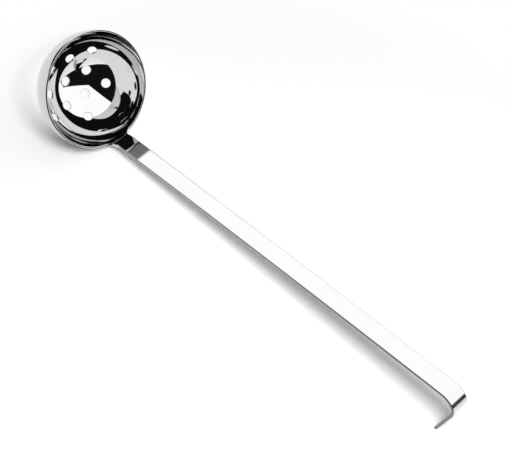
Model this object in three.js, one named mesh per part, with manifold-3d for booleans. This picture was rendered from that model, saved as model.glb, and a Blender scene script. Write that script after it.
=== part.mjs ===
// Perforated ladle: a deep round bowl with drain holes, a long flat handle with a hook, and the weld between them.
// Millimetres, +Z up. The ladle lies at rest: the bowl's side and the hook's tip touch the plane z = 0.
import * as THREE from 'three';
import { mergeVertices } from 'three/addons/utils/BufferGeometryUtils.js';
import Module from 'manifold-3d';

// Bowl
const BOWL_RADIUS = 50;
const BOWL_WALL = 1.5;
const BOWL_SEGMENTS = 64;
const BOWL_RINGS = 15;

// Drain holes, on a triangular grid laid over the bowl's bottom
const HOLE_DIAMETER = 8;
const HOLE_PITCH = 21.5;
const HOLE_SIDES = 24;
const HOLES_PER_RING = 6;

// Neck: the bowl's tang stands up from the rim, and the weld turns its line to the handle's in two equal bends
const NECK_HEIGHT = 8.6;
const NECK_FILLET = 5.5;
const NECK_ROOT = 1.2;
const NECK_STEPS = 7;
const NECK_COLUMNS = 10;
const WELD_LENGTH = 3.6;
const WELD_CLEARANCE = 0.1;

// Handle
const HANDLE_ANGLE = THREE.MathUtils.degToRad(65);
const HANDLE_LENGTH = 354;
const STRAP_WIDTH = 16.4;
const STRAP_THICKNESS = 2.7;
const BOW_RISE = 1.4;
const BOW_STEPS = 12;

// Hook at the handle's end
const HOOK_RADIUS = 13.5;
const HOOK_ANGLE = THREE.MathUtils.degToRad(111.6);
const HOOK_LEG = 32.4;
const HOOK_STEPS = 14;

// Cuts leave no edge shorter than this
const SHORTEST_EDGE = 0.02;

const wasm = await Module();
wasm.setup();

function steelMaterial(color, roughness) {
  return new THREE.MeshStandardMaterial({ color, roughness, metalness: 1 });
}

// Closed triangle mesh to a solid that can be joined and cut
function toSolid(geometry) {
  const bare = geometry.clone();
  bare.deleteAttribute('normal');
  bare.deleteAttribute('uv');
  const merged = mergeVertices(bare, 1e-4);
  return new wasm.Manifold(new wasm.Mesh({
    numProp: 3,
    vertProperties: new Float32Array(merged.attributes.position.array),
    triVerts: new Uint32Array(merged.index.array),
  }));
}

// Solid back to a triangle mesh, with the ends of every edge shorter than SHORTEST_EDGE joined
function toGeometry(solid) {
  const mesh = solid.getMesh();
  const position = new THREE.BufferAttribute(mesh.vertProperties, 3);
  const corners = [...mesh.triVerts];
  const joined = new Map();
  const root = (v) => (joined.has(v) ? root(joined.get(v)) : v);
  const [p, q] = [new THREE.Vector3(), new THREE.Vector3()];
  for (let k = 0; k < corners.length; k += 1) {
    const next = k % 3 === 2 ? k - 2 : k + 1;
    const [a, b] = [root(corners[k]), root(corners[next])];
    p.fromBufferAttribute(position, a);
    q.fromBufferAttribute(position, b);
    if (a !== b && p.distanceTo(q) < SHORTEST_EDGE) joined.set(a, b);
  }
  const index = [];
  for (let k = 0; k < corners.length; k += 3) {
    const [a, b, c] = [root(corners[k]), root(corners[k + 1]), root(corners[k + 2])];
    if (a !== b && b !== c && c !== a) index.push(a, b, c);
  }
  const geometry = new THREE.BufferGeometry();
  geometry.setAttribute('position', position);
  geometry.setIndex(index);
  geometry.computeVertexNormals();
  return geometry;
}

// Solid through closed rings of points, all with the same even count. A ring runs out along one face and back along
// the other, and each end is closed by a strip between the two faces.
function loftGeometry(rings) {
  const count = rings[0].length;
  const points = rings.flat();
  const index = [];
  for (let r = 0; r < rings.length - 1; r += 1) {
    for (let k = 0; k < count; k += 1) {
      const a = r * count + k;
      const b = r * count + ((k + 1) % count);
      index.push(a, b, b + count, a, b + count, a + count);
    }
  }
  const last = (rings.length - 1) * count;
  for (let k = 0; k < count / 2 - 1; k += 1) {
    const [a, b, c, d] = [k, k + 1, count - 2 - k, count - 1 - k];
    index.push(a, c, b, a, d, c);
    index.push(last + a, last + b, last + c, last + a, last + c, last + d);
  }
  const geometry = new THREE.BufferGeometry().setFromPoints(points);
  geometry.setIndex(index);
  return geometry;
}

// Prism of a closed outline in the middle plane (x, z), centred across the middle plane
function prismGeometry(outline, width) {
  const shape = new THREE.Shape(outline);
  const geometry = new THREE.ExtrudeGeometry(shape, { depth: width, bevelEnabled: false });
  geometry.translate(0, 0, -width / 2);
  geometry.rotateX(Math.PI / 2);
  return geometry;
}

// Half-round shell about the z axis, mouth up, with the middle of a facet on the handle's side
function bowlShell() {
  const inner = BOWL_RADIUS - BOWL_WALL;
  const profile = [];
  for (let k = 0; k <= BOWL_RINGS; k += 1) {
    const polar = (k / BOWL_RINGS) * Math.PI / 2;
    profile.push(new THREE.Vector2(BOWL_RADIUS * Math.sin(polar), -BOWL_RADIUS * Math.cos(polar)));
  }
  for (let k = BOWL_RINGS; k >= 0; k -= 1) {
    const polar = (k / BOWL_RINGS) * Math.PI / 2;
    profile.push(new THREE.Vector2(inner * Math.sin(polar), -inner * Math.cos(polar)));
  }
  profile[0].x = 0;
  profile[profile.length - 1].x = 0;
  const halfFacet = Math.PI / BOWL_SEGMENTS;
  const shell = new THREE.LatheGeometry(profile, BOWL_SEGMENTS, Math.PI / 2 + halfFacet);
  shell.rotateX(Math.PI / 2);
  return shell;
}

// Tang above the rim: it follows the rim's curve at its root and is flat where the weld begins
function neckTang() {
  const inner = BOWL_RADIUS - BOWL_WALL;
  const rings = [];
  for (let s = 0; s <= NECK_STEPS; s += 1) {
    const height = THREE.MathUtils.lerp(-NECK_ROOT, NECK_HEIGHT, s / NECK_STEPS);
    const rise = Math.max(0, height) / NECK_HEIGHT;
    const flat = rise * rise * (3 - 2 * rise);
    const inFillet = Math.max(0, 1 - Math.max(0, height) / NECK_FILLET);
    const half = STRAP_WIDTH / 2 + NECK_FILLET * (1 - Math.sqrt(1 - inFillet * inFillet));
    const root = BOWL_WALL / 4;
    const insideGap = root * (1 - flat);
    const thickness = THREE.MathUtils.lerp(BOWL_WALL / 2, STRAP_THICKNESS, flat);
    const across = [];
    for (let k = 0; k <= NECK_COLUMNS; k += 1) {
      const y = half * (2 * k / NECK_COLUMNS - 1);
      const round = Math.sqrt(inner * inner - y * y);
      across.push({ y, x: THREE.MathUtils.lerp(round, inner, flat) + insideGap });
    }
    const mouthSide = across.map(({ x, y }) => new THREE.Vector3(x, y, height));
    const backSide = across.map(({ x, y }) => new THREE.Vector3(x + thickness, y, height)).reverse();
    rings.push([...backSide, ...mouthSide]);
  }
  return loftGeometry(rings);
}

// Directions to the holes, from the bowl's centre: the pole, six on the first ring and six between them further out
function holeDirections() {
  const first = HOLE_PITCH / BOWL_RADIUS;
  const second = first * Math.sqrt(3);
  const directions = [new THREE.Vector3(0, 0, -1)];
  for (let k = 0; k < HOLES_PER_RING; k += 1) {
    const turn = (k / HOLES_PER_RING) * 2 * Math.PI;
    const halfTurn = Math.PI / HOLES_PER_RING;
    directions.push(new THREE.Vector3().setFromSphericalCoords(1, first, turn + halfTurn));
    directions.push(new THREE.Vector3().setFromSphericalCoords(1, second, turn));
  }
  return directions.map((d, k) => (k === 0 ? d : new THREE.Vector3(d.z, d.x, -d.y)));
}

// Round punch, turned a quarter facet so that its corners stay off the shell's edges
function holePunch(direction) {
  const radius = HOLE_DIAMETER / 2;
  const quarterFacet = Math.PI / BOWL_SEGMENTS / 2;
  const punch = new THREE.CylinderGeometry(radius, radius, BOWL_RADIUS, HOLE_SIDES, 1, false, quarterFacet);
  const up = new THREE.Vector3(0, 1, 0);
  punch.applyQuaternion(new THREE.Quaternion().setFromUnitVectors(up, direction));
  punch.translate(...direction.clone().multiplyScalar(BOWL_RADIUS).toArray());
  return punch;
}

function bowlGeometry() {
  let bowl = toSolid(bowlShell()).add(toSolid(neckTang()));
  for (const direction of holeDirections()) {
    bowl = bowl.subtract(toSolid(holePunch(direction)));
  }
  return toGeometry(bowl);
}

// Middle-plane layout of neck, weld, handle and hook, as points (x, z) on the mouth side and on the back
const along = new THREE.Vector2(Math.cos(HANDLE_ANGLE), Math.sin(HANDLE_ANGLE));
const back = new THREE.Vector2(along.y, -along.x);
const halfBend = (Math.PI / 2 - HANDLE_ANGLE) / 2;
const bendSetback = WELD_LENGTH / (2 * Math.cos(halfBend));
const tangTop = new THREE.Vector2(BOWL_RADIUS - BOWL_WALL, NECK_HEIGHT);
const neckCorner = tangTop.clone().add(new THREE.Vector2(0, bendSetback));
const handleStart = neckCorner.clone().addScaledVector(along, bendSetback);

function weldGeometry() {
  const low = tangTop.clone().add(new THREE.Vector2(0, WELD_CLEARANCE));
  const high = handleStart.clone().addScaledVector(along, -WELD_CLEARANCE);
  const lowBack = low.clone().add(new THREE.Vector2(STRAP_THICKNESS, 0));
  const highBack = high.clone().addScaledVector(back, STRAP_THICKNESS);
  return prismGeometry([low, lowBack, highBack, high], STRAP_WIDTH);
}

// One face of the strap: a slightly arched run, the hook's bend and its leg, at a depth below the mouth-side face
function strapFace(depth) {
  const points = [];
  for (let k = 0; k <= BOW_STEPS; k += 1) {
    const share = k / BOW_STEPS;
    const arch = 4 * BOW_RISE * share * (1 - share);
    const point = handleStart.clone().addScaledVector(along, share * HANDLE_LENGTH);
    points.push(point.addScaledVector(back, depth - arch));
  }
  const centre = handleStart.clone().addScaledVector(along, HANDLE_LENGTH).addScaledVector(back, HOOK_RADIUS);
  for (let k = 1; k <= HOOK_STEPS; k += 1) {
    const turn = (k / HOOK_STEPS) * HOOK_ANGLE;
    const radius = HOOK_RADIUS - depth;
    const point = centre.clone().addScaledVector(along, radius * Math.sin(turn));
    points.push(point.addScaledVector(back, -radius * Math.cos(turn)));
  }
  const legDirection = along.clone().multiplyScalar(Math.cos(HOOK_ANGLE))
    .addScaledVector(back, Math.sin(HOOK_ANGLE));
  points.push(points[points.length - 1].clone().addScaledVector(legDirection, HOOK_LEG));
  return points;
}

const mouthFace = strapFace(0);
const backFace = strapFace(STRAP_THICKNESS);

function handleGeometry() {
  return prismGeometry([...backFace, ...mouthFace.slice().reverse()], STRAP_WIDTH);
}

// Turn about y that lays the ladle down: the plane under it touches the round bowl and the lower corner of the tip
function restingTurn() {
  const corners = [mouthFace[mouthFace.length - 1], backFace[backFace.length - 1]];
  const downAngles = corners.map((corner) => {
    const reach = Math.acos(BOWL_RADIUS / corner.length());
    return Math.atan2(corner.y, corner.x) - reach;
  });
  return Math.min(...downAngles) + Math.PI / 2;
}

function namedMesh(name, geometry, material) {
  const mesh = new THREE.Mesh(geometry, material);
  mesh.name = name;
  return mesh;
}

const lying = new THREE.Group();
lying.add(namedMesh('perforated_bowl', bowlGeometry(), steelMaterial(0xd4d6d6, 0.06)));
lying.add(namedMesh('neck_weld', weldGeometry(), steelMaterial(0xc9cbcb, 0.12)));
lying.add(namedMesh('handle', handleGeometry(), steelMaterial(0xdcdddd, 0.1)));
lying.rotation.y = restingTurn();

const ladle = new THREE.Group();
ladle.name = 'perforated_ladle';
ladle.add(lying);
ladle.updateMatrixWorld(true);
const box = new THREE.Box3().setFromObject(ladle, true);
lying.position.set(-(box.min.x + box.max.x) / 2, 0, -box.min.z);

export default ladle;
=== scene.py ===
import math

import bmesh
import bpy
from mathutils import Matrix, Vector


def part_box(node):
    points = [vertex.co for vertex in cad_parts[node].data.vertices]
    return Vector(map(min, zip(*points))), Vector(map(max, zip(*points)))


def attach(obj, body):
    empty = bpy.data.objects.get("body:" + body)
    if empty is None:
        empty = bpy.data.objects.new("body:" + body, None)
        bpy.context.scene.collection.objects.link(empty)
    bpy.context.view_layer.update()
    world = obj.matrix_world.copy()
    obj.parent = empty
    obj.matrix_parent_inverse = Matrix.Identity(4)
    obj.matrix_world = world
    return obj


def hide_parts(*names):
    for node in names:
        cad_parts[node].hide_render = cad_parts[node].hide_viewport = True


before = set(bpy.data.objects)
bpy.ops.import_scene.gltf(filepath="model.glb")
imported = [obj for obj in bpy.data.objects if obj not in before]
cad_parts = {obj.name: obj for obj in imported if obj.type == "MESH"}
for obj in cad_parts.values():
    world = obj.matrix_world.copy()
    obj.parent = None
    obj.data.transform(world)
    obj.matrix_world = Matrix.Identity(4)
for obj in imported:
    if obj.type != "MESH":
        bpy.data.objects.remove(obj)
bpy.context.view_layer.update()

MM = 0.001
ROOT = "root"

# Bowl, in millimetres, as in the part's source
BOWL_RADIUS = 50.0
BOWL_WALL = 1.5
INNER_RADIUS = BOWL_RADIUS - BOWL_WALL
RIM_CROWN = 0.15
CROWN_STEPS = 6
MERIDIANS = 200
PARALLELS = 60

# Drain holes
HOLE_DIAMETER = 8.0
HOLE_PITCH = 21.5
HOLE_SIDES = 48
HOLE_EDGE = 0.16
HOLES_PER_RING = 6
PUNCH_DEPTH = 4.0
PUNCH_STEPS = 40
FLARE_POWER = 8.0
FLARE_LIMIT = 3.0
MERGE_REACH = 0.001

# Neck and weld; the dressed lengths and slope only turn the shading of the neck's mouth side
NECK_HEIGHT = 8.6
NECK_FILLET = 5.5
NECK_ARC_STEPS = 14
NECK_STRAIGHT_STEPS = 4
NECK_HALF_COLUMNS = 14
WELD_LENGTH = 3.6
WELD_STEPS = 48
WELD_STRAIGHT = 0.38
DRESSED_FROM = 1.0
DRESSED_TO = 5.0
DRESSED_END = 8.0
DRESSED_SLOPE = math.radians(17)
BEAD_HEIGHT = 0.08
BEAD_WIDTH = 0.9

# Handle and hook
HANDLE_ANGLE = math.radians(65)
HANDLE_LENGTH = 354.0
STRAP_WIDTH = 16.4
STRAP_THICKNESS = 2.7
STRAP_EDGE = 0.9
STRAP_EDGE_STEPS = 6
TIP_EDGE = 0.35
TIP_STEPS = 3
BOW_RISE = 1.4
BOW_STEPS = 48
HOOK_RADIUS = 13.5
HOOK_ANGLE = math.radians(111.6)
HOOK_LEG = 32.4
HOOK_STEPS = 48
LEG_STEPS = 8

# Shading: faces within this angle are smooth, points this near a sphere of the bowl are on it
SMOOTH_ANGLE = math.radians(40)
SPHERE_TOLERANCE = 0.02

# Steel: tint, roughness and stretch of the polishing marks
MIRROR_TINT = (0.70, 0.705, 0.695)
MIRROR_FINISH = 0.02
MIRROR_GRAIN = (1.0, 1.0, 1.0)
STRAP_TINT = (0.695, 0.70, 0.695)
STRAP_FINISH = 0.015
STRAP_GRAIN = (0.04, 1.0, 1.0)
WELD_FINISH = 0.02
WELD_GRAIN = (1.0, 0.2, 1.0)
HAZE_SCALE = 38.0
HAZE_DETAIL = 4.0
HAZE_RANGE = (0.35, 0.75)
MARKS_SCALE = 900.0
MARKS_DETAIL = 3.0
MARKS_RANGE = (0.45, 0.8)
WEAR_SHARE = 0.5
DULL_SHARE = 0.96

# Bowl's polish: weaker at a glance inside, an even one outside with a darker tint that is painted shade,
# parted within the wall
INNER_GLANCE = 0.38
OUTER_SHADE_TINT = (0.62, 0.625, 0.62)
WALL_SKIN = 0.1

# Strip's sides, in millimetres from the edge, and along the part's x, in metres: sheared sides, duller
# and with painted shade in their tint for what they mirror, lighter by the neck and darkest towards the
# hook, and its stretched bend
SIDE_DEPTH = 0.8
NECK_SIDE_SHADE_TINT = (0.42, 0.425, 0.42)
HOOK_SIDE_SHADE_TINT = (0.20, 0.206, 0.203)
SIDE_SHADE_START = -0.14
SIDE_SHADE_END = 0.20
SHEARED_FINISH = 0.3
BEND_FINISH = 0.13

# Photograph's camera, in metres, for a picture of 512 by 466
CAMERA_PLACE = Vector((0.45358, -0.52309, 0.98817))
CAMERA_RIGHT = Vector((0.70652, 0.70515, 0.05999))
CAMERA_DOWN = Vector((0.59886, -0.55055, -0.58160))
CAMERA_FORWARD = Vector((-0.37709, 0.44684, -0.81126))
SENSOR_WIDTH = 36.0
FOCAL_PIXELS = 1477.16
PICTURE_WIDTH = 512

# Studio: planes through the ladle that bound what it mirrors, each with its pale side along the normal
FRONT_EDGE = (-0.0659, 0.8874, 0.4563)
SIDE_EDGE = (-0.4638, 0.4396, 0.7676)
COVE_EDGE = (-0.5592, 0.8290, 0.0)
LEFT_EDGE = (0.7580, 0.1450, 0.6360)
EDGE_SOFTNESS = 0.004
LEFT_SOFTNESS = 0.002
BORDER_SOFTNESS = 0.001
LEFT_BORDER = 0.0085
BORDER_LEVEL = 0.2
CANOPY_LEVEL = 1.4
ROOM_LEVEL = 0.008

# Light on the table: a share of the studio's own, and one broad soft lamp high on the camera's side
DOME_SHARE = 0.434
LAMP_WATTS = 15.5
LAMP_DIAMETER = 0.52
LAMP_PLACE = Vector((0.50, -0.29, 1.16))
LAMP_TARGET = Vector((-0.18, 0.0, 0.0))

# Table, and where it is plain white to the camera and in the steel: behind the drain holes, painted light
# over the bowl's shadow, and far away
WHITE = (1.0, 1.0, 1.0, 1.0)
TABLE_COLOR = 0.97
TABLE_ROUGHNESS = 0.9
PAINTED_LIGHT_SPOT = (-0.222, 0.024, 0.0)
PAINTED_LIGHT_INNER = 0.040
PAINTED_LIGHT_OUTER = 0.072
PAINTED_LIGHT_SHARE = 0.9
WHITE_FAR_START = 0.22
WHITE_FAR_END = 0.33
TABLE_FRONT = -0.30
TABLE_BACK = 2.5
TABLE_LEFT = -1.5
TABLE_RIGHT = 0.40


class Plug:
    """A node's output that takes part in Python expressions."""

    def __init__(self, graph, socket):
        self.graph = graph
        self.socket = socket

    def math(self, operation, *others):
        return self.graph.add("ShaderNodeMath", {"operation": operation}, [self, *others])

    def __add__(self, other):
        return self.math("ADD", other)

    def __sub__(self, other):
        return self.math("SUBTRACT", other)

    def __mul__(self, other):
        return self.math("MULTIPLY", other)

    def __truediv__(self, other):
        return self.math("DIVIDE", other)

    def __pow__(self, other):
        return self.math("POWER", other)

    def __radd__(self, other):
        return self.math("ADD", other)

    def __rmul__(self, other):
        return self.math("MULTIPLY", other)

    def __rsub__(self, other):
        return self.graph.add("ShaderNodeMath", {"operation": "SUBTRACT"}, [other, self])


class Graph:
    """A node tree of shaders or geometry, filled node by node."""

    def __init__(self, tree):
        self.tree = tree

    def add(self, kind, settings=None, inputs=None, output=0):
        """New node: settings first, then the values or links of its sockets, by place or by name."""
        node = self.tree.nodes.new(kind)
        for name, value in (settings or {}).items():
            setattr(node, name, value)
        pairs = inputs.items() if isinstance(inputs, dict) else enumerate(inputs or [])
        for key, value in pairs:
            socket = node.inputs[key]
            for each in value if isinstance(value, list) else [value]:
                if isinstance(each, Plug):
                    self.tree.links.new(each.socket, socket)
                else:
                    socket.default_value = each
        return Plug(self, node.outputs[output]) if node.outputs else node

    def along(self, vector, direction):
        """Dot product of a linked vector and a constant direction."""
        settings = {"operation": "DOT_PRODUCT"}
        return self.add("ShaderNodeVectorMath", settings, [vector, direction], "Value")

    def distance(self, vector, centre):
        """Distance of a linked point from a constant one."""
        return self.add("ShaderNodeVectorMath", {"operation": "DISTANCE"}, [vector, centre], "Value")

    def blend(self, share, first, second):
        """Mix of two colours, each linked or constant."""
        inputs = {"Factor": share, "A": first, "B": second}
        return self.add("ShaderNodeMix", {"data_type": "RGBA"}, inputs, "Result")

    def rise(self, value, low, high):
        """0 below low, 1 above high, smooth between."""
        settings = {"interpolation_type": "SMOOTHSTEP"}
        inputs = {"Value": value, "From Min": low, "From Max": high}
        return self.add("ShaderNodeMapRange", settings, inputs)


# Middle-plane layout in the bowl's frame: x towards the handle, z out of the mouth
along = Vector((math.cos(HANDLE_ANGLE), 0, math.sin(HANDLE_ANGLE)))
back = Vector((along.z, 0, -along.x))
half_bend = (math.pi / 2 - HANDLE_ANGLE) / 2
bend_setback = WELD_LENGTH / (2 * math.cos(half_bend))
tang_top = Vector((INNER_RADIUS, 0, NECK_HEIGHT))
handle_start = tang_top + Vector((0, 0, bend_setback)) + along * bend_setback


def strap_path(depth):
    """Points along the strap, hook and leg, at a depth below the mouth-side face."""
    points = []
    for k in range(BOW_STEPS + 1):
        share = k / BOW_STEPS
        arch = 4 * BOW_RISE * share * (1 - share)
        points.append(handle_start + along * (share * HANDLE_LENGTH) + back * (depth - arch))
    centre = handle_start + along * HANDLE_LENGTH + back * HOOK_RADIUS
    radius = HOOK_RADIUS - depth
    for k in range(1, HOOK_STEPS + 1):
        turn = HOOK_ANGLE * k / HOOK_STEPS
        points.append(centre + along * (radius * math.sin(turn)) - back * (radius * math.cos(turn)))
    leg = along * math.cos(HOOK_ANGLE) + back * math.sin(HOOK_ANGLE)
    end = points[-1].copy()
    for k in range(1, LEG_STEPS + 1):
        points.append(end + leg * (HOOK_LEG * k / LEG_STEPS))
    return points


def resting_place():
    """Matrix from the bowl's frame, in millimetres, to the part's frame, in metres."""
    turns = []
    for depth in (0.0, STRAP_THICKNESS):
        tip = strap_path(depth)[-1]
        reach = math.acos(BOWL_RADIUS / tip.length)
        turns.append(math.atan2(tip.z, tip.x) - reach)
    turned = Matrix.Rotation(min(turns) + math.pi / 2, 4, "Y") @ Matrix.Scale(MM, 4)
    starts = [turned @ handle_start, turned @ (handle_start + back * STRAP_THICKNESS)]
    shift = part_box("handle")[0][0] - min(p.x for p in starts)
    return Matrix.Translation((shift, 0, BOWL_RADIUS * MM)) @ turned


place = resting_place()
bend_start = (place @ (handle_start + along * HANDLE_LENGTH)).x
bend_end = bend_start + HOOK_RADIUS * MM / 2


def smooth_step(share):
    share = min(max(share, 0.0), 1.0)
    return share * share * (3 - 2 * share)


def neck_rows():
    """Half width, height and edge direction (across, up) of the tang, from the rim to its top."""
    rows = []
    reach = NECK_FILLET + RIM_CROWN
    for k in range(NECK_ARC_STEPS + 1):
        turn = math.pi / 2 * k / NECK_ARC_STEPS
        half = STRAP_WIDTH / 2 + NECK_FILLET - reach * math.sin(turn)
        rows.append((half, NECK_FILLET - reach * math.cos(turn), math.sin(turn), math.cos(turn)))
    for k in range(1, NECK_STRAIGHT_STEPS + 1):
        height = NECK_FILLET + (NECK_HEIGHT - NECK_FILLET) * k / NECK_STRAIGHT_STEPS
        rows.append((STRAP_WIDTH / 2 - RIM_CROWN, height, 1.0, 0.0))
    return rows


def tang_point(y, height):
    """Mouth-side and back points of the tang, and its direction across."""
    flat = smooth_step(height / NECK_HEIGHT)
    dip = min(height, 0.0)
    round_x = math.sqrt(INNER_RADIUS ** 2 - dip * dip - y * y)
    mouth = Vector((round_x + (INNER_RADIUS - round_x) * flat, y, height))
    outward = Vector((round_x, y, dip)).normalized().lerp(Vector((1, 0, 0)), flat).normalized()
    thickness = BOWL_WALL + (STRAP_THICKNESS - BOWL_WALL) * flat
    across = Vector((-outward.y, outward.x, 0)).normalized()
    return mouth, mouth + outward * thickness, across


def bowl_shell():
    """Closed shell: the half-round wall, the tang that grows out of it and a rounded edge all round."""
    bm = bmesh.new()
    rows = neck_rows()
    widest = rows[0][0]
    columns = range(-NECK_HALF_COLUMNS, NECK_HALF_COLUMNS + 1)
    neck_azimuths = [math.asin(widest * k / NECK_HALF_COLUMNS / INNER_RADIUS) for k in columns]
    free_steps = MERIDIANS - len(neck_azimuths) + 1
    open_arc = 2 * math.pi - 2 * neck_azimuths[-1]
    open_start = neck_azimuths[-1]
    open_azimuths = [open_start + open_arc * k / free_steps for k in range(1, free_steps)]
    azimuths = neck_azimuths + open_azimuths
    count = len(azimuths)
    last_polar = math.acos(RIM_CROWN / INNER_RADIUS)
    walls = []
    for radius in (INNER_RADIUS, BOWL_RADIUS):
        grid = []
        for r in range(1, PARALLELS + 1):
            polar = last_polar * r / PARALLELS
            flat_radius = radius * math.sin(polar)
            height = -radius * math.cos(polar)
            ring = []
            for azimuth in azimuths:
                across = flat_radius * math.sin(azimuth)
                ring.append(bm.verts.new((flat_radius * math.cos(azimuth), across, height)))
            grid.append(ring)
        pole = bm.verts.new((0, 0, -radius))
        for k in range(count):
            bm.faces.new((pole, grid[0][k], grid[0][(k + 1) % count]))
        for low, high in zip(grid, grid[1:]):
            for k in range(count):
                j = (k + 1) % count
                bm.faces.new((low[k], low[j], high[j], high[k]))
        walls.append(grid[-1])
    inner_rim, outer_rim = walls
    neck_count = len(neck_azimuths)
    inner_rows, outer_rows = [inner_rim[:neck_count]], [outer_rim[:neck_count]]
    sides = {-1: [], 1: []}
    for half, height, edge_across, edge_up in rows[1:]:
        inner_row, outer_row = [], []
        for k in columns:
            mouth, rear, across = tang_point(half * k / NECK_HALF_COLUMNS, height)
            inner_row.append(bm.verts.new(mouth))
            outer_row.append(bm.verts.new(rear))
            if abs(k) == NECK_HALF_COLUMNS:
                side = 1 if k > 0 else -1
                edge = across * (side * edge_across) + Vector((0, 0, edge_up))
                sides[side].append((inner_row[-1], outer_row[-1], edge))
        inner_rows.append(inner_row)
        outer_rows.append(outer_row)
    for layers in (inner_rows, outer_rows):
        for low, high in zip(layers, layers[1:]):
            for k in range(neck_count - 1):
                bm.faces.new((low[k], low[k + 1], high[k + 1], high[k]))
    up = Vector((0, 0, 1))
    rim = [(inner_rim[k], outer_rim[k], up) for k in range(neck_count - 1, count)]
    rim.append((inner_rim[0], outer_rim[0], up))
    edge_loop = list(reversed(sides[1])) + rim + sides[-1]
    strips = []
    for inner, outer, edge in edge_loop:
        strip = [inner]
        middle = (inner.co + outer.co) / 2
        for k in range(1, CROWN_STEPS):
            turn = math.pi * k / CROWN_STEPS
            spot = middle + (inner.co - middle) * math.cos(turn) + edge * (RIM_CROWN * math.sin(turn))
            strip.append(bm.verts.new(spot))
        strips.append(strip + [outer])
    for one, two in zip(strips, strips[1:]):
        for k in range(CROWN_STEPS):
            bm.faces.new((one[k], one[k + 1], two[k + 1], two[k]))
    top = inner_rows[-1] + strips[0][1:-1] + outer_rows[-1][::-1] + strips[-1][-2:0:-1]
    bm.faces.new(top)
    bmesh.ops.recalc_face_normals(bm, faces=bm.faces)
    mesh = bpy.data.meshes.new("bowl_shell")
    bm.to_mesh(mesh)
    bm.free()
    return mesh


def geometry_tree(name, sizes):
    """New geometry tree with a geometry input, named sizes and a geometry output."""
    tree = bpy.data.node_groups.new(name, "GeometryNodeTree")
    tree.interface.new_socket("Geometry", in_out="INPUT", socket_type="NodeSocketGeometry")
    keys = {}
    for size in sizes:
        socket = tree.interface.new_socket(size, in_out="INPUT", socket_type="NodeSocketFloat")
        keys[size] = socket.identifier
    tree.interface.new_socket("Geometry", in_out="OUTPUT", socket_type="NodeSocketGeometry")
    graph = Graph(tree)
    entry = tree.nodes.new("NodeGroupInput")
    plugs = {socket.name: Plug(graph, socket) for socket in entry.outputs if socket.name}
    return graph, plugs, keys


def close_tree(graph, geometry, material):
    """Ends a tree in Realize Instances and Set Material."""
    real = graph.add("GeometryNodeRealizeInstances", inputs=[geometry])
    smooth = graph.add("GeometryNodeSetShadeSmooth", inputs={"Geometry": real})
    done = graph.add("GeometryNodeSetMaterial", inputs={"Geometry": smooth, "Material": material})
    graph.add("NodeGroupOutput", inputs={"Geometry": done})


def run_tree(piece, graph, values):
    """Runs a tree on a piece and keeps the result as its plain mesh."""
    modifier = piece.modifiers.new("shape", "NODES")
    modifier.node_group = graph.tree
    for key, value in values.items():
        modifier[key] = value
    bpy.context.view_layer.update()
    shaped = piece.evaluated_get(bpy.context.evaluated_depsgraph_get())
    mesh = bpy.data.meshes.new_from_object(shaped)
    piece.modifiers.clear()
    piece.data = mesh
    mesh.name = piece.name


def drain_hole_tree(material):
    """Punches the pole hole and two rings of holes, with rounded edges, through the bowl's wall."""
    sizes = ["Bowl radius", "Wall", "Hole diameter", "Pitch", "Edge"]
    graph, size, keys = geometry_tree("drain holes", sizes)
    radius = size["Hole diameter"] / 2.0
    first = size["Pitch"] / size["Bowl radius"]
    middle = size["Bowl radius"] - size["Wall"] / 2.0 - radius * radius / (size["Bowl radius"] * 2.0)
    spots = [graph.add("GeometryNodePoints", inputs={"Count": 1, "Position": graph.add(
        "ShaderNodeCombineXYZ", inputs={"Z": middle * -1.0})})]
    rings = ((first, math.pi / HOLES_PER_RING), (first * math.sqrt(3), 0.0))
    for polar, turn in rings:
        ring = graph.add("GeometryNodeMeshCircle", inputs={
            "Vertices": HOLES_PER_RING, "Radius": middle * polar.math("SINE")})
        height = graph.add("ShaderNodeCombineXYZ", inputs={"Z": middle * polar.math("COSINE") * -1.0})
        spots.append(graph.add("GeometryNodeTransform", inputs={
            "Geometry": ring, "Translation": height, "Rotation": (0.0, 0.0, turn)}))
    spread = graph.add("GeometryNodeJoinGeometry", inputs={"Geometry": spots})
    punch = graph.add("GeometryNodeMeshCylinder", inputs={
        "Vertices": HOLE_SIDES, "Side Segments": PUNCH_STEPS, "Radius": radius, "Depth": PUNCH_DEPTH})
    place_on_punch = graph.add("GeometryNodeInputPosition")
    height = graph.add("ShaderNodeSeparateXYZ", inputs=[place_on_punch], output="Z")
    share = height.math("ABSOLUTE") / (size["Wall"] / 2.0)
    flare = (size["Edge"] * share ** FLARE_POWER).math("MINIMUM", size["Edge"] * FLARE_LIMIT)
    flat = (1.0, 1.0, 0.0)
    outward = graph.add("ShaderNodeVectorMath", {"operation": "MULTIPLY"}, [place_on_punch, flat])
    outward = graph.add("ShaderNodeVectorMath", {"operation": "NORMALIZE"}, [outward])
    offset = graph.add("ShaderNodeVectorMath", {"operation": "SCALE"}, {
        "Vector": outward, "Scale": flare})
    punch = graph.add("GeometryNodeSetPosition", inputs={"Geometry": punch, "Offset": offset})
    turn = graph.add("FunctionNodeAlignRotationToVector", {"axis": "Z"}, {
        "Vector": graph.add("GeometryNodeInputPosition")})
    punches = graph.add("GeometryNodeInstanceOnPoints", inputs={
        "Points": spread, "Instance": punch, "Rotation": turn})
    punches = graph.add("GeometryNodeRealizeInstances", inputs=[punches])
    holed = graph.add("GeometryNodeMeshBoolean", {"operation": "DIFFERENCE", "solver": "EXACT"}, {
        "Mesh 1": size["Geometry"], "Mesh 2": punches})
    close_tree(graph, holed, material)
    return graph, {
        keys["Bowl radius"]: BOWL_RADIUS, keys["Wall"]: BOWL_WALL, keys["Hole diameter"]: HOLE_DIAMETER,
        keys["Pitch"]: HOLE_PITCH, keys["Edge"]: HOLE_EDGE}


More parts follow.
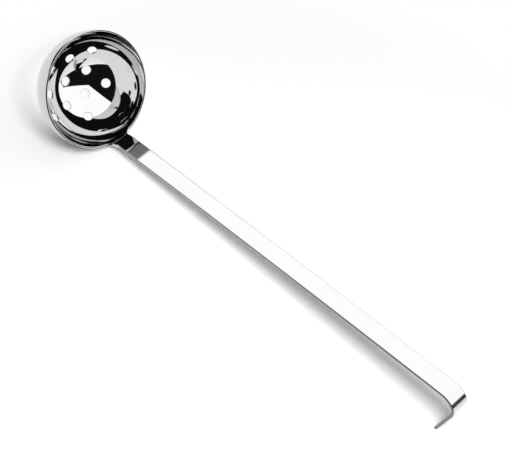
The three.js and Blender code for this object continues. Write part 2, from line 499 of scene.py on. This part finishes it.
def strap_tree(material):
    """Sweeps a flat bar with rounded edges along the strap's middle line."""
    graph, size, keys = geometry_tree("strap", ["Width", "Thickness", "Edge radius"])
    path = graph.add("GeometryNodeMeshToCurve", inputs=[size["Geometry"]])
    path = graph.add("GeometryNodeSetCurveNormal", {"mode": "FREE"}, {
        "Curve": path, "Normal": (0.0, 1.0, 0.0)})
    bar = graph.add("GeometryNodeCurvePrimitiveQuadrilateral", inputs={
        "Width": size["Width"], "Height": size["Thickness"]})
    bar = graph.add("GeometryNodeFilletCurve", {"mode": "POLY"}, {
        "Curve": bar, "Count": STRAP_EDGE_STEPS, "Radius": size["Edge radius"]})
    swept = graph.add("GeometryNodeCurveToMesh", inputs={
        "Curve": path, "Profile Curve": bar, "Fill Caps": True})
    close_tree(graph, swept, material)
    return graph, {
        keys["Width"]: STRAP_WIDTH, keys["Thickness"]: STRAP_THICKNESS, keys["Edge radius"]: STRAP_EDGE}


def new_piece(name, mesh):
    piece = bpy.data.objects.new(name, mesh)
    bpy.context.scene.collection.objects.link(piece)
    return piece


def dressed(normal, height):
    """A neck normal in the bowl's frame, its slope drawn towards the dressed one with height."""
    if normal.x > 0:
        return normal
    share = smooth_step((height - DRESSED_FROM) / (DRESSED_TO - DRESSED_FROM))
    slope = math.atan2(normal.z, -normal.x)
    slope += share * (DRESSED_SLOPE - slope)
    size = math.hypot(normal.x, normal.z)
    return Vector((-size * math.cos(slope), normal.y, size * math.sin(slope)))


def polish_normals(mesh, radii=()):
    """Mirror-true shading: faces on the bowl's spheres take the spheres' normals, the rest blend by area.

    The neck's mouth side, from the tang to the strap's first stretch, is dressed to one slope."""
    reach = math.cos(SMOOTH_ANGLE)
    centre = place.translation
    turned = place.to_quaternion()
    unplaced = place.inverted()
    around = [[] for _ in mesh.vertices]
    for face in mesh.polygons:
        for v in face.vertices:
            around[v].append(face.index)
    normals = [face.normal.copy() for face in mesh.polygons]
    areas = [face.area for face in mesh.polygons]
    true_normal = [None] * len(mesh.vertices)
    for vertex in mesh.vertices:
        arm = vertex.co - centre
        for radius, side in radii:
            if abs(arm.length - radius * MM) < SPHERE_TOLERANCE * MM:
                true_normal[vertex.index] = arm.normalized() * side
    loops = [None] * len(mesh.loops)
    for face in mesh.polygons:
        for k in face.loop_indices:
            v = mesh.loops[k].vertex_index
            known = true_normal[v]
            if known is not None and known.dot(face.normal) > reach:
                loops[k] = known
                continue
            total = Vector()
            for other in around[v]:
                if normals[other].dot(face.normal) > reach:
                    total += normals[other] * areas[other]
            loops[k] = total.normalized()
            middle = unplaced @ face.center
            if middle.z > 0 and (middle - handle_start).dot(along) < DRESSED_END:
                height = (unplaced @ mesh.vertices[v].co).z
                loops[k] = turned @ dressed(turned.inverted() @ loops[k], height)
    mesh.normals_split_custom_set(loops)


def dress(piece, node, radii=()):
    """Puts a finished piece in the part's frame, attaches it to the root body and hides the CAD part it
    stands for.
    """
    piece.data.transform(place)
    polish_normals(piece.data, radii)
    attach(piece, ROOT)
    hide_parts(node)


def clean_punched(mesh):
    """Merges points that punching leaves on top of each other and drops the faces of no area."""
    bm = bmesh.new()
    bm.from_mesh(mesh)
    bmesh.ops.remove_doubles(bm, verts=bm.verts, dist=MERGE_REACH)
    bmesh.ops.dissolve_degenerate(bm, dist=MERGE_REACH, edges=bm.edges)
    bm.to_mesh(mesh)
    bm.free()


def make_bowl(material):
    piece = new_piece("bowl", bowl_shell())
    run_tree(piece, *drain_hole_tree(material))
    clean_punched(piece.data)
    dress(piece, "perforated_bowl", ((INNER_RADIUS, -1), (BOWL_RADIUS, 1)))


def round_tip(mesh):
    """Rounds the edges of the hook's cut end."""
    bm = bmesh.new()
    bm.from_mesh(mesh)
    tip = strap_path(STRAP_THICKNESS / 2)[-1]
    cap = min(bm.faces, key=lambda face: (face.calc_center_median() - tip).length)
    border = list(cap.edges)
    bmesh.ops.bevel(bm, geom=border, offset=TIP_EDGE, segments=TIP_STEPS, profile=0.5, affect="EDGES")
    bm.to_mesh(mesh)
    bm.free()


def make_handle(material):
    mesh = bpy.data.meshes.new("handle_path")
    points = strap_path(STRAP_THICKNESS / 2)
    mesh.from_pydata(points, [(k, k + 1) for k in range(len(points) - 1)], [])
    piece = new_piece("strap_handle", mesh)
    run_tree(piece, *strap_tree(material))
    round_tip(piece.data)
    dress(piece, "handle")


def bar_section(grow):
    """Outline of the strap's section as (across, depth), grown outwards."""
    outline = []
    half = STRAP_WIDTH / 2 - STRAP_EDGE
    low, high = STRAP_EDGE, STRAP_THICKNESS - STRAP_EDGE
    corners = ((half, high, 0), (-half, high, 1), (-half, low, 2), (half, low, 3))
    for across, depth, quarter in corners:
        for k in range(STRAP_EDGE_STEPS + 1):
            turn = math.pi / 2 * (quarter + k / STRAP_EDGE_STEPS)
            radius = STRAP_EDGE + grow
            outline.append((across + radius * math.cos(turn), depth + radius * math.sin(turn)))
    return outline


def make_weld(material):
    """Dressed weld between tang and strap: a short bar, tightly bent, with a low bead at the tang."""
    bm = bmesh.new()
    rings = []
    corner = tang_top + Vector((0, 0, bend_setback))
    bend_from = tang_top.lerp(corner, WELD_STRAIGHT * 2)
    bend_to = handle_start.lerp(corner, WELD_STRAIGHT * 2)
    for k in range(WELD_STEPS + 1):
        share = k / WELD_STEPS
        bent = min(max((share - WELD_STRAIGHT) / (1 - 2 * WELD_STRAIGHT), 0.0), 1.0)
        spot = bend_from * (1 - bent) ** 2 + corner * (2 * bent * (1 - bent)) + bend_to * bent ** 2
        if share < WELD_STRAIGHT:
            spot = tang_top.lerp(corner, share * 2)
        if share > 1 - WELD_STRAIGHT:
            spot = handle_start.lerp(corner, (1 - share) * 2)
        rearward = Vector((1, 0, 0)).slerp(back, bent)
        grow = BEAD_HEIGHT * math.sin(math.pi * min(share * WELD_LENGTH / BEAD_WIDTH, 1.0))
        ring = []
        for across, depth in bar_section(grow):
            ring.append(bm.verts.new(spot + Vector((0, across, 0)) + rearward * depth))
        rings.append(ring)
    for one, two in zip(rings, rings[1:]):
        for k in range(len(one)):
            j = (k + 1) % len(one)
            bm.faces.new((one[k], one[j], two[j], two[k]))
    bm.faces.new(rings[0])
    bm.faces.new(rings[-1])
    bmesh.ops.recalc_face_normals(bm, faces=bm.faces)
    mesh = bpy.data.meshes.new("weld_seam")
    bm.to_mesh(mesh)
    bm.free()
    mesh.materials.append(material)
    piece = new_piece("weld_seam", mesh)
    dress(piece, "neck_weld")


def new_graph(owner):
    owner.use_nodes = True
    owner.node_tree.nodes.clear()
    return Graph(owner.node_tree)


def polished_steel(name, tint, roughness, grain_scale, glance=1.0, strip=False, shell=False):
    """Mirror-polished stainless steel with faint haze and fine polishing marks.

    glance is the strength of reflections at a low angle. A strip has duller sides, darkened with painted
    shade, and a duller bend, and a shell has another polish outside, its darker tint painted shade."""
    material = bpy.data.materials.new(name)
    graph = new_graph(material)
    spot = graph.add("ShaderNodeTexCoord", output="Object")
    haze = graph.add("ShaderNodeTexNoise", inputs={
        "Vector": spot, "Scale": HAZE_SCALE, "Detail": HAZE_DETAIL})
    stretched = graph.add("ShaderNodeMapping", inputs={"Vector": spot, "Scale": grain_scale})
    marks = graph.add("ShaderNodeTexNoise", inputs={
        "Vector": stretched, "Scale": MARKS_SCALE, "Detail": MARKS_DETAIL})
    worn = graph.rise(haze, *HAZE_RANGE) * WEAR_SHARE + graph.rise(marks, *MARKS_RANGE) * WEAR_SHARE
    dull = tuple(channel * DULL_SHARE for channel in tint)
    color = graph.blend(worn, (*tint, 1.0), (*dull, 1.0))
    finish = roughness + worn * roughness
    if strip:
        across = graph.add("ShaderNodeSeparateXYZ", inputs=[spot], output="Y").math("ABSOLUTE")
        half = STRAP_WIDTH / 2 * MM
        side = graph.rise(across, half - SIDE_DEPTH * MM, half - SIDE_DEPTH * MM / 2)
        reach = graph.add("ShaderNodeSeparateXYZ", inputs=[spot], output="X")
        # The sides' tint is painted shade: darker than the steel, lighter by the neck and darkest towards
        # the hook.
        side_shade_share = graph.rise(reach, SIDE_SHADE_START, SIDE_SHADE_END)
        side_shade_color = graph.blend(side_shade_share, (*NECK_SIDE_SHADE_TINT, 1.0), (*HOOK_SIDE_SHADE_TINT, 1.0))
        color = graph.blend(side, color, side_shade_color)
        bend = graph.rise(reach, bend_start, bend_end)
        finish = finish + side * SHEARED_FINISH + bend * BEND_FINISH
    steel = graph.add("ShaderNodeBsdfPrincipled", inputs={
        "Metallic": 1.0, "Base Color": color, "Roughness": finish,
        "Specular Tint": (glance, glance, glance, 1.0)})
    if shell:
        depth = graph.distance(spot, place.translation)
        outside = graph.rise(depth, (INNER_RADIUS + WALL_SKIN) * MM, (BOWL_RADIUS - WALL_SKIN) * MM)
        # Outside of the bowl: the same steel, its darker tint painted shade so the outline shows against
        # white.
        outer_shaded_steel = graph.add("ShaderNodeBsdfPrincipled", inputs={
            "Metallic": 1.0, "Base Color": (*OUTER_SHADE_TINT, 1.0), "Roughness": finish})
        steel = graph.add("ShaderNodeMixShader", inputs=[outside, steel, outer_shaded_steel])
    graph.add("ShaderNodeOutputMaterial", inputs={"Surface": steel})
    return material


def table_material():
    """Pale table that keeps most shadows; behind the drain holes painted light covers the bowl's shadow,
    and far away it is a white background.
    """
    material = bpy.data.materials.new("pale_table")
    graph = new_graph(material)
    surface = graph.add("ShaderNodeBsdfPrincipled", inputs={
        "Base Color": (TABLE_COLOR, TABLE_COLOR, TABLE_COLOR, 1.0), "Roughness": TABLE_ROUGHNESS,
        "Specular IOR Level": 0.0})
    spot = graph.add("ShaderNodeTexCoord", output="Object")
    away = graph.distance(spot, PAINTED_LIGHT_SPOT)
    seen = graph.add("ShaderNodeLightPath", output="Is Camera Ray")
    mirrored = graph.add("ShaderNodeLightPath", output="Is Glossy Ray")
    # Painted light: a white glow behind the drain holes, over part of the bowl's shadow, for the camera
    # and in the steel.
    beside = graph.rise(away, PAINTED_LIGHT_INNER, PAINTED_LIGHT_OUTER)
    painted_light_behind_holes = (1.0 - beside) * PAINTED_LIGHT_SHARE
    reach = graph.add("ShaderNodeVectorMath", {"operation": "LENGTH"}, [spot], "Value")
    clear = painted_light_behind_holes.math("MAXIMUM", graph.rise(reach, WHITE_FAR_START, WHITE_FAR_END))
    white = graph.add("ShaderNodeEmission", inputs={"Color": WHITE, "Strength": 1.0})
    both = graph.add("ShaderNodeMixShader", inputs=[(seen + mirrored) * clear, surface, white])
    graph.add("ShaderNodeOutputMaterial", inputs={"Surface": both})
    return material


def make_table():
    mesh = bpy.data.meshes.new("table")
    corners = ((TABLE_LEFT, TABLE_FRONT, 0), (TABLE_RIGHT, TABLE_FRONT, 0),
               (TABLE_RIGHT, TABLE_BACK, 0), (TABLE_LEFT, TABLE_BACK, 0))
    mesh.from_pydata(corners, [], [(0, 1, 2, 3)])
    mesh.materials.append(table_material())
    new_piece("table", mesh)


def make_studio():
    """Pale canopy overhead and cove behind, with a dark room in front.

    Mirror rays see it in full, because the steel shows that dark room, and camera rays see plain white.
    All other rays get a share of it, which is the soft light on the table."""
    world = bpy.data.worlds.new("studio")
    bpy.context.scene.world = world
    graph = new_graph(world)
    direction = graph.add("ShaderNodeTexCoord", output="Generated")

    def beyond(normal):
        return graph.rise(graph.along(direction, normal), -EDGE_SOFTNESS, EDGE_SOFTNESS)

    canopy = beyond(FRONT_EDGE) * beyond(SIDE_EDGE)
    left = graph.along(direction, LEFT_EDGE)
    full = graph.rise(left, LEFT_BORDER, LEFT_BORDER + LEFT_SOFTNESS)
    border = graph.rise(left, -BORDER_SOFTNESS, 0.0)
    pale = canopy.math("MAXIMUM", beyond(COVE_EDGE))
    level = pale * (full * (CANOPY_LEVEL - BORDER_LEVEL) + border * BORDER_LEVEL) + ROOM_LEVEL
    mirrored = graph.add("ShaderNodeLightPath", output="Is Glossy Ray")
    seen = graph.add("ShaderNodeLightPath", output="Is Camera Ray")
    strength = level * (mirrored * (1.0 - DOME_SHARE) + DOME_SHARE)
    studio = graph.add("ShaderNodeBackground", inputs={"Color": WHITE, "Strength": strength})
    white = graph.add("ShaderNodeBackground", inputs={"Color": WHITE, "Strength": 1.0})
    both = graph.add("ShaderNodeMixShader", inputs=[seen, studio, white])
    graph.add("ShaderNodeOutputWorld", inputs={"Surface": both})


def make_lamp():
    data = bpy.data.lights.new("soft_lamp", "AREA")
    data.shape = "DISK"
    data.size = LAMP_DIAMETER
    data.energy = LAMP_WATTS
    lamp = bpy.data.objects.new("soft_lamp", data)
    turned = (LAMP_PLACE - LAMP_TARGET).to_track_quat("Z", "Y").to_matrix().to_4x4()
    lamp.matrix_world = Matrix.Translation(LAMP_PLACE) @ turned
    lamp.visible_glossy = False
    lamp.visible_camera = False
    bpy.context.scene.collection.objects.link(lamp)


def make_camera():
    data = bpy.data.cameras.new("photograph")
    data.sensor_fit = "HORIZONTAL"
    data.sensor_width = SENSOR_WIDTH
    data.lens = SENSOR_WIDTH * FOCAL_PIXELS / PICTURE_WIDTH
    camera = bpy.data.objects.new("photograph", data)
    turned = Matrix((CAMERA_RIGHT, -CAMERA_DOWN, -CAMERA_FORWARD)).transposed().to_4x4()
    camera.matrix_world = Matrix.Translation(CAMERA_PLACE) @ turned
    bpy.context.scene.collection.objects.link(camera)
    bpy.context.scene.camera = camera


bpy.context.scene.view_settings.view_transform = "Standard"
make_camera()
make_studio()
make_lamp()
make_table()
mirror_steel = polished_steel(
    "mirror_steel", MIRROR_TINT, MIRROR_FINISH, MIRROR_GRAIN, INNER_GLANCE, shell=True)
strap_steel = polished_steel("strap_steel", STRAP_TINT, STRAP_FINISH, STRAP_GRAIN, strip=True)
weld_steel = polished_steel("weld_steel", STRAP_TINT, WELD_FINISH, WELD_GRAIN)
make_bowl(mirror_steel)
make_handle(strap_steel)
make_weld(weld_steel)
